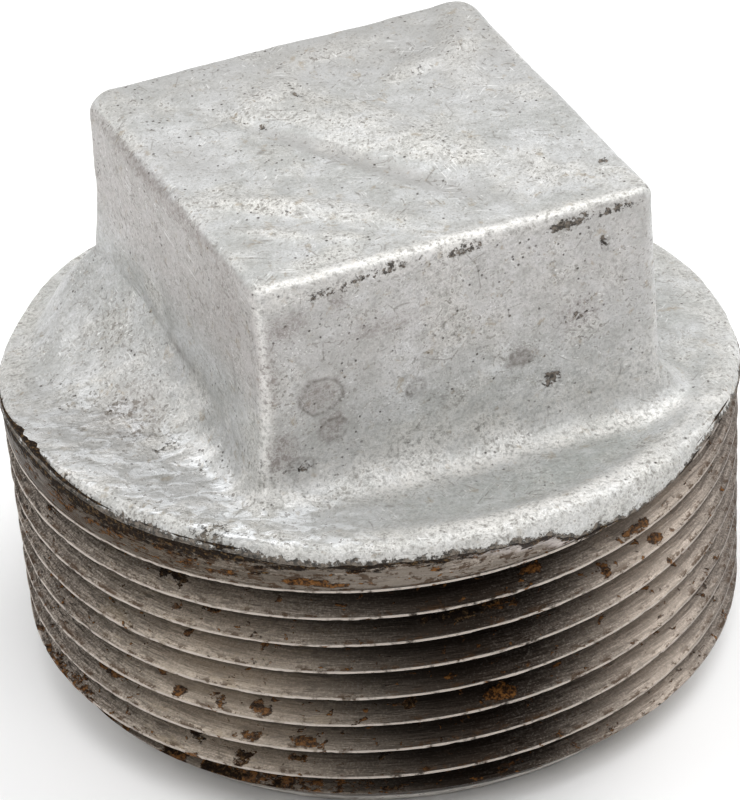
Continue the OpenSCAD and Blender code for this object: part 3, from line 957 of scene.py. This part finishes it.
class Surface:
    """Builds one material from nodes. Sizes are in millimetres of the object's own space.

    shader_values are the shader's own values, for sockets that nothing is linked to and for a viewer
    that can't follow the nodes.
    """

    def __init__(self, name, **shader_values):
        self.material = bpy.data.materials.new(name)
        self.material.use_nodes = True
        self.tree = self.material.node_tree
        self.tree.nodes.clear()
        self.shader = self.add("BsdfPrincipled")
        output = self.add("OutputMaterial")
        self.tree.links.new(self.shader.outputs["BSDF"], output.inputs["Surface"])
        for socket, value in shader_values.items():
            self.shader.inputs[socket.replace("_", " ")].default_value = value
        self.place = self.add("TexCoord").outputs["Object"]
        self.colour = None

    def add(self, kind, inputs=None, **settings):
        """Adds a node. inputs is a dictionary of sockets, by name or number, to values or outputs."""
        node = self.tree.nodes.new("ShaderNode" + kind)
        for key, value in settings.items():
            setattr(node, key, value)
        for key, value in (inputs or {}).items():
            self.put(node.inputs[key], value)
        return node

    def put(self, socket, value):
        """Links a socket to another one's output, or sets it."""
        if isinstance(value, bpy.types.NodeSocket):
            self.tree.links.new(value, socket)
        elif isinstance(value, tuple) and len(value) == 3 and len(socket.default_value) == 4:
            socket.default_value = (*value, 1)
        else:
            socket.default_value = value

    def set(self, socket, value):
        self.put(self.shader.inputs[socket], value)

    def math(self, operation, a, b):
        return self.add("Math", {0: a, 1: b}, operation=operation).outputs[0]

    def times(self, a, b):
        return self.math("MULTIPLY", a, b)

    def plus(self, a, b):
        return self.math("ADD", a, b)

    def span(self, value, low, high, to_low=0.0, to_high=1.0):
        """Maps low..high to to_low..to_high with a smooth step."""
        inputs = {"Value": value, "From Min": low, "From Max": high, "To Min": to_low, "To Max": to_high}
        return self.add("MapRange", inputs, interpolation_type="SMOOTHSTEP").outputs["Result"]

    def blend(self, share, a, b):
        """Mixes two colours."""
        settings = {"data_type": "RGBA", "blend_type": "MIX", "clamp_factor": True}
        return self.add("Mix", {0: share, 6: a, 7: b}, **settings).outputs[2]

    def coat(self, share, colour, amount=1.0):
        """Lays a colour over what is there. share is a socket or the name of painted values."""
        if isinstance(share, str):
            share = self.painted(share)
        if amount != 1.0:
            share = self.times(share, amount)
        self.colour = self.blend(share, self.colour, colour)

    def scaled_place(self, size, stretch=(1, 1, 1), turn=(0, 0, 0)):
        """The object's own place in a pattern of that size, stretched and turned by degrees."""
        place = self.place
        if any(turn):
            inputs = {"Vector": place, "Rotation": tuple(math.radians(a) for a in turn)}
            place = self.add("VectorRotate", inputs, rotation_type="EULER_XYZ").outputs[0]
        scale = tuple(1 / (MM * size * s) for s in stretch)
        return self.add("VectorMath", {0: place, 1: scale}, operation="MULTIPLY").outputs[0]

    def noise(self, size, detail=2.0, roughness=0.5, distortion=0.0, stretch=(1, 1, 1), turn=(0, 0, 0)):
        inputs = {"Vector": self.scaled_place(size, stretch, turn), "Scale": 1.0, "Detail": detail}
        inputs.update({"Roughness": roughness, "Distortion": distortion})
        return self.add("TexNoise", inputs, noise_dimensions="3D").outputs["Fac"]

    def cells(self, size, feature="F1", bend=0.0):
        """Distances in a pattern of cells, whose places are bent by a noise."""
        place = self.scaled_place(size)
        if bend:
            waves = self.add("TexNoise", {"Vector": place, "Scale": 1.3}).outputs["Color"]
            inputs = {0: waves, 1: (bend, bend, bend), 2: place}
            place = self.add("VectorMath", inputs, operation="MULTIPLY_ADD").outputs[0]
        inputs = {"Vector": place, "Scale": 1.0, "Randomness": 1.0}
        return self.add("TexVoronoi", inputs, feature=feature).outputs["Distance"]

    def painted(self, name):
        return self.add("Attribute", attribute_name=name).outputs["Fac"]

    def bumps(self, *layers):
        """Bumps on top of each other. Each layer is a height and its depth in millimetres."""
        inputs = {"Strength": 1.0}
        for height, depth in layers:
            inputs.update({"Distance": depth * MM, "Height": height})
            inputs["Normal"] = self.add("Bump", inputs).outputs["Normal"]
        self.set("Normal", inputs["Normal"])


def zinc_surface():
    s = Surface("galvanized_zinc", Metallic=0.4, Roughness=0.42, Specular_IOR_Level=0.18)
    cloud = s.noise(4.5, 4, 0.6)
    flow = s.noise(1.3, 4, 0.6, 0.3)
    grain = s.noise(0.36, 4, 0.75)
    dust = s.noise(0.12, 2, 0.6)
    crumbly = s.painted("crumbly")
    relief = s.span(crumbly, 0.1, 0.9, 0.38, 1.0)
    sheen = s.noise(1.0, 2, 0.6, 0.9, (1.6, 1, 1.3), (0, 0, RIPPLE_TURN))

    s.colour = s.blend(s.span(cloud, 0.38, 0.62), (0.44, 0.445, 0.435), (0.545, 0.55, 0.55))
    s.coat(crumbly, (0.6, 0.585, 0.55), 0.7)
    s.coat("warm", (0.5, 0.46, 0.445), 0.75)
    s.coat("trough", (0.42, 0.445, 0.425), 0.6)
    s.coat(s.span(flow, 0.34, 0.52, 0.35, 0.0), (0.3, 0.295, 0.275))
    s.coat(s.span(flow, 0.54, 0.7, 0.0, 0.35), (0.7, 0.71, 0.72))
    # Painted shade and light on the grain's relief: darker where its bumps are low and lighter where they
    # are high, most where the zinc is crumbly; partly the zinc's own grain
    s.coat(s.times(s.span(grain, 0.34, 0.5, 0.85, 0.0), relief), (0.2, 0.19, 0.17))
    s.coat(s.times(s.span(grain, 0.5, 0.66, 0.0, 0.85), relief), (0.86, 0.85, 0.82))
    s.coat(s.span(dust, 0.34, 0.48, 0.35, 0.0), (0.26, 0.25, 0.23))
    # Painted sheen: bluish-white highlights over the ripples on the shoulder's front left
    s.coat(s.times(s.span(sheen, 0.44, 0.62), s.times(s.painted("rippled"), 0.75)), (0.84, 0.86, 0.88))

    # Painted shade on the back of the top, the walls and the hollows of the top, then dark crumbs,
    # freckles and specks
    s.coat("dull", (0.36, 0.352, 0.34), 0.6)
    crumbs = s.times(s.painted("crumbs"), s.span(s.noise(0.5, 4, 0.75, 0.6), 0.54, 0.6))
    s.coat(crumbs, (0.12, 0.1, 0.075), 0.85)
    freckles = s.span(s.noise(0.36, 3, 0.6), 0.6, 0.66)
    specks = s.times(s.span(s.cells(0.6), 0.08, 0.19, 1.0, 0.0), s.span(s.noise(2.0, 2), 0.46, 0.6))
    s.coat(s.times(freckles, s.span(crumbly, 0.0, 1.0, 0.45, 0.8)), (0.12, 0.105, 0.085))
    s.coat(specks, (0.05, 0.04, 0.032), 0.85)

    # Fine streaks in three directions, and cracks: width, direction and strength of each set of streaks
    streaks = ((0.15, (0, 0, RIPPLE_TURN), 0.6), (0.13, (30, 10, -40), 0.5), (0.15, (-20, 60, 80), 0.5))
    for size, turn, share in streaks:
        streak = s.noise(size, 1, 0.5, 0.25, (24, 1, 1), turn)
        here = s.span(s.noise(2.7, 2, 0.5, 0.0, (1, 1, 1), turn), 0.55, 0.63)
        here = s.times(here, s.span(s.painted("rippled"), 0.0, 0.6, 1.0, 0.0))
        dark_line = s.times(s.span(streak, 0.66, 0.71), here)
        pale_line = s.times(s.span(streak, 0.29, 0.34, 1.0, 0.0), here)
        s.coat(dark_line, (0.14, 0.125, 0.105), share)
        s.coat(pale_line, (0.85, 0.85, 0.84), share)
    cracks = s.times(s.span(s.cells(2.3, "DISTANCE_TO_EDGE", 0.25), 0.0, 0.028, 1.0, 0.0),
                     s.span(s.noise(1.5, 2), 0.58, 0.64))
    s.coat(cracks, (0.15, 0.135, 0.115), 0.5)

    # A little rust, stains, scars with painted shade along the west foot's crease, painted highlights
    # that lie partly on worn edges, and the dirt along the coat's lower edge
    rusty = s.span(s.noise(1.1, 4, 0.7, 0.4), 0.59, 0.69)
    s.coat(rusty, (0.3, 0.245, 0.17), 0.5)
    stain = s.times(s.painted("stain"), s.span(grain, 0.38, 0.6, 1.0, 0.35))
    s.coat(stain, (0.19, 0.155, 0.14), 0.75)
    # The scar lines, and the painted shade along the west foot's crease
    lines = s.times(s.painted("lines"), s.span(flow, 0.36, 0.52, 0.35, 1.0))
    s.coat(lines, (0.1, 0.085, 0.07), 0.85)
    # Painted highlights, which lie partly on worn bare zinc at the edges
    bright = s.times(s.painted("bright"), s.span(grain, 0.36, 0.58, 0.2, 1.0))
    s.coat(bright, (0.84, 0.82, 0.79), 0.85)
    ragged = s.plus(s.painted("grime"), s.span(s.noise(0.42, 4, 0.75), 0.3, 0.7, -0.5, 0.5))
    grime = s.span(ragged, 0.42, 0.62)
    dirt = s.blend(s.span(s.noise(0.35, 3, 0.65), 0.4, 0.6), (0.028, 0.022, 0.016), (0.2, 0.165, 0.13))
    s.coat(grime, dirt, 0.88)

    s.set("Base Color", s.colour)
    rough = s.span(grain, 0.35, 0.65, 0.5, 0.36)
    gloss = s.plus(s.times(s.painted("trough"), 0.08), s.times(s.painted("rippled"), 0.12))
    rough = s.math("SUBTRACT", rough, gloss)
    s.set("Roughness", s.plus(rough, s.times(grime, 0.3)))
    pits = s.plus(s.times(specks, -1.0), s.times(freckles, -0.5))
    s.bumps(
        (flow, 0.12),
        (s.times(sheen, s.painted("rippled")), 0.15),
        (s.times(grain, relief), 0.1),
        (dust, 0.012),
        (pits, 0.05),
        (s.times(grime, s.noise(0.3, 3, 0.7)), 0.18),
    )
    return s.material


def iron_surface():
    s = Surface("bare_iron", Metallic=0.55, Roughness=0.45, Specular_IOR_Level=0.05)
    around = (9, 9, 0.3)
    dashes = (2.6, 2.6, 0.22)
    turned = s.noise(0.33, 3, 0.6, 0.0, around)
    fine = s.noise(0.16, 2, 0.6, 0.0, around)
    dashed = s.noise(0.34, 3, 0.65, 0.0, dashes)
    mottle = s.noise(1.6, 4, 0.65)
    grain = s.noise(0.15, 2, 0.65)
    depth = s.painted("depth")

    s.colour = s.blend(s.span(mottle, 0.38, 0.62), (0.17, 0.145, 0.122), (0.255, 0.218, 0.185))
    # Painted shade on the front, painted light on the front left and front right
    s.coat("dark_side", (0.04, 0.03, 0.023), 0.74)
    s.coat("pale_side", (0.52, 0.44, 0.345), 0.75)
    s.coat("tan_side", (0.34, 0.275, 0.22), 0.5)
    s.coat(s.span(turned, 0.4, 0.6, 0.5, 0.0), (0.055, 0.044, 0.036))
    s.coat(s.span(turned, 0.54, 0.72, 0.0, 0.4), (0.42, 0.375, 0.335))
    s.coat(s.span(grain, 0.36, 0.54, 0.65, 0.0), (0.036, 0.027, 0.021))
    s.coat(s.span(grain, 0.54, 0.68, 0.0, 0.45), (0.5, 0.45, 0.4))
    s.coat(s.span(fine, 0.54, 0.64, 0.0, 0.7), (0.024, 0.017, 0.012))
    dash_place = s.span(mottle, 0.4, 0.58, 0.25, 1.0)
    s.coat(s.times(s.span(dashed, 0.53, 0.59, 0.0, 0.95), dash_place), (0.012, 0.008, 0.005))
    olive = s.span(s.noise(0.9, 3, 0.65, 0.3, (2.6, 2.6, 0.6)), 0.58, 0.68)
    s.coat(s.times(olive, s.times(s.painted("pale_side"), 0.7)), (0.24, 0.175, 0.085))
    grooved = s.times(s.span(s.noise(0.5, 2, 0.5, 0.0, (12, 12, 0.5)), 0.46, 0.53), s.painted("band"))
    s.coat(grooved, (0.026, 0.019, 0.013), 0.78)

    # Painted shade on the thread's front and far sides, painted light on its front left and front right,
    # the band's own dark and pale parts, and the worn crests
    s.coat("dark_side", (0.015, 0.01, 0.007), 0.9)
    s.coat("tan_side", (0.52, 0.45, 0.385), 0.52)
    s.coat("dark_band", (0.05, 0.034, 0.018), 0.8)
    s.coat("dim_side", (0.085, 0.07, 0.06), 0.42)
    s.coat("pale_side", (0.53, 0.46, 0.385), 0.58)
    s.coat("pale_band", (0.46, 0.4, 0.34), 0.35)
    worn = s.times(s.painted("worn"), s.span(grain, 0.34, 0.56, 0.45, 1.0))
    s.coat(worn, (0.38, 0.33, 0.29), 0.22)

    # Dirt beside the crests, painted shade in the roots, a painted highlight on the crests, partly rubbed
    # bare metal, and the pale ends of the thread
    crest_dirt = s.span(s.noise(0.42, 4, 0.7, 0.0, (2.4, 2.4, 1)), 0.52, 0.58)
    by_crest = s.times(s.span(depth, 0.02, 0.3, 1.0, 0.0), crest_dirt)
    s.coat(by_crest, (0.05, 0.026, 0.012), 0.8)
    # Painted shade in the thread's roots
    root = s.span(depth, 0.66, 0.96)
    s.coat(root, (0.016, 0.012, 0.01), 0.9)
    # A painted highlight on the crests, partly rubbed bare metal
    crest = s.times(s.painted("crest"), s.span(s.noise(0.9, 3, 0.65), 0.32, 0.5))
    s.coat(crest, (0.52, 0.465, 0.415), 0.85)
    left = s.times(s.painted("leftover"), s.span(s.noise(0.5, 3, 0.6), 0.25, 0.45))
    s.coat(left, (0.5, 0.455, 0.43), 0.9)
    shoe = s.times(s.painted("chamfer"), s.span(mottle, 0.3, 0.6, 0.6, 1.0))
    s.coat(shoe, (0.6, 0.57, 0.53), 0.9)

    # Rust and soot with ragged borders
    spread = s.span(s.noise(0.42, 4, 0.72, 0.0, (2.2, 2.2, 0.7)), 0.25, 0.75, -0.5, 0.5)
    rust = s.span(s.plus(s.painted("rust"), spread), 0.42, 0.62)
    freckles = s.span(s.noise(0.5, 3, 0.6, 0.4, (1.6, 1.6, 0.8)), 0.62, 0.67)
    rust = s.math("MAXIMUM", rust, s.times(freckles, s.span(s.noise(3.5, 2), 0.38, 0.54)))
    flakes = s.span(s.noise(0.32, 3, 0.7), 0.4, 0.62)
    rust_colour = s.blend(flakes, (0.018, 0.008, 0.004), (0.2, 0.085, 0.022))
    s.coat(rust, rust_colour, 0.9)
    soot = s.span(s.plus(s.painted("soot"), spread), 0.45, 0.62)
    clumps = s.span(s.noise(0.3, 3, 0.7), 0.5, 0.66)
    soot_colour = s.blend(clumps, (0.012, 0.008, 0.006), (0.125, 0.078, 0.036))
    s.coat(soot, soot_colour, 0.92)

    s.set("Base Color", s.colour)
    dull = s.math("MAXIMUM", rust, soot)
    s.set("Metallic", s.times(s.span(dull, 0.0, 1.0, 1.0, 0.1), s.span(root, 0.0, 1.0, 0.6, 0.2)))
    s.set("Roughness", s.plus(s.span(turned, 0.3, 0.7, 0.5, 0.38), s.times(dull, 0.35)))
    s.bumps(
        (turned, 0.035),
        (s.times(grooved, -1.0), 0.06),
        (fine, 0.02),
        (grain, 0.016),
        (s.times(dull, s.noise(0.35, 3, 0.7)), 0.14),
    )
    return s.material


def lining_surface():
    s = Surface("dull_zinc", Metallic=0.2, Roughness=0.6)
    cloud = s.noise(3.0, 4, 0.6)
    grain = s.noise(0.5, 4, 0.65)
    s.colour = s.blend(s.span(cloud, 0.35, 0.65), (0.36, 0.36, 0.35), (0.5, 0.5, 0.49))
    s.coat(s.span(grain, 0.32, 0.5, 0.5, 0.0), (0.2, 0.19, 0.175))
    spots = s.span(s.noise(1.6, 4, 0.7), 0.62, 0.72)
    s.coat(spots, (0.3, 0.22, 0.14), 0.6)
    s.set("Base Color", s.colour)
    s.set("Roughness", s.span(grain, 0.3, 0.7, 0.7, 0.52))
    s.bumps((cloud, 0.2), (grain, 0.08))
    return s.material


def floor_surface():
    s = Surface("pale_floor", Roughness=0.9)
    s.set("Base Color", s.blend(s.noise(60.0, 2), (0.9, 0.9, 0.9), (0.92, 0.92, 0.92)))
    return s.material


# ---- camera, light and floor ----

CAMERA_AZIMUTH = -22.74
CAMERA_ELEVATION = 35.42
CAMERA_ROLL = 4.1
CAMERA_DISTANCE = 444.3
CAMERA_PIVOT = Vector((0, 0, 20.18))
CAMERA_AIM = Vector((-0.07, 0.03, 17.51))
LENS = 303.2


def direction_to(azimuth, elevation):
    """Direction from the plug to a place. Azimuth 0 is in front, on the -Y side."""
    a, e = math.radians(azimuth), math.radians(elevation)
    return Vector((math.sin(a) * math.cos(e), -math.cos(a) * math.cos(e), math.sin(e)))


def add_camera():
    data = bpy.data.cameras.new("camera")
    data.lens = LENS
    data.sensor_width = 36
    data.clip_start = 0.01
    data.clip_end = 20
    place = CAMERA_PIVOT + direction_to(CAMERA_AZIMUTH, CAMERA_ELEVATION) * CAMERA_DISTANCE
    forward = (CAMERA_AIM - place).normalized()
    turned = forward.to_track_quat("-Z", "Y").to_matrix()
    roll = Matrix.Rotation(math.radians(-CAMERA_ROLL), 3, "Z")
    camera = add_object("camera", data)
    camera.matrix_world = Matrix.Translation(place * MM) @ (turned @ roll).to_4x4()
    bpy.context.scene.camera = camera


def add_softbox(name, azimuth, elevation, distance, size, power):
    """A square light that faces the middle of the plug."""
    data = bpy.data.lights.new(name, "AREA")
    data.shape = "SQUARE"
    data.size = size
    data.energy = power
    back = direction_to(azimuth, elevation)
    light = add_object(name, data)
    light.location = back * distance + Vector((0, 0, 0.02))
    light.rotation_mode = "QUATERNION"
    light.rotation_quaternion = (-back).to_track_quat("-Z", "Y")


def add_studio():
    world = bpy.data.worlds.new("studio")
    world.use_nodes = True
    nodes, links = world.node_tree.nodes, world.node_tree.links
    direction = nodes.new("ShaderNodeTexCoord")
    split = nodes.new("ShaderNodeSeparateXYZ")
    overhead = nodes.new("ShaderNodeMapRange")
    for socket, value in (("From Min", 0.7), ("From Max", 0.95), ("To Min", 0.55), ("To Max", 0.3)):
        overhead.inputs[socket].default_value = value
    links.new(direction.outputs["Generated"], split.inputs[0])
    links.new(split.outputs["Z"], overhead.inputs["Value"])
    links.new(overhead.outputs["Result"], nodes["Background"].inputs["Strength"])
    nodes["Background"].inputs["Color"].default_value = (1, 1, 1, 1)
    bpy.context.scene.world = world
    bpy.context.scene.view_settings.view_transform = "Standard"
    add_softbox("back_left", CAMERA_AZIMUTH - 118, 54, 0.8, 0.75, 3.6)
    add_softbox("back_right", CAMERA_AZIMUTH + 122, 50, 0.8, 0.75, 4.8)
    add_softbox("front", CAMERA_AZIMUTH + 15, 62, 0.8, 0.4, 2.2)


def add_floor():
    mesh = bpy.data.meshes.new("floor")
    count, radius, just_below = 64, 2.0, -0.00005
    turns = [2 * math.pi * k / count for k in range(count)]
    border = [(radius * math.cos(a), radius * math.sin(a), just_below) for a in turns]
    mesh.from_pydata(border, [], [list(range(count))])
    floor = add_object("floor", mesh)
    floor.data.materials.append(floor_surface())


# ---- the scene ----

add_camera()
add_studio()
add_floor()

head = build_head()
head.data.materials.append(zinc_surface())
shank = build_shank()
shank.data.materials.append(iron_surface())
lining = build_lining()
lining.data.materials.append(lining_surface())
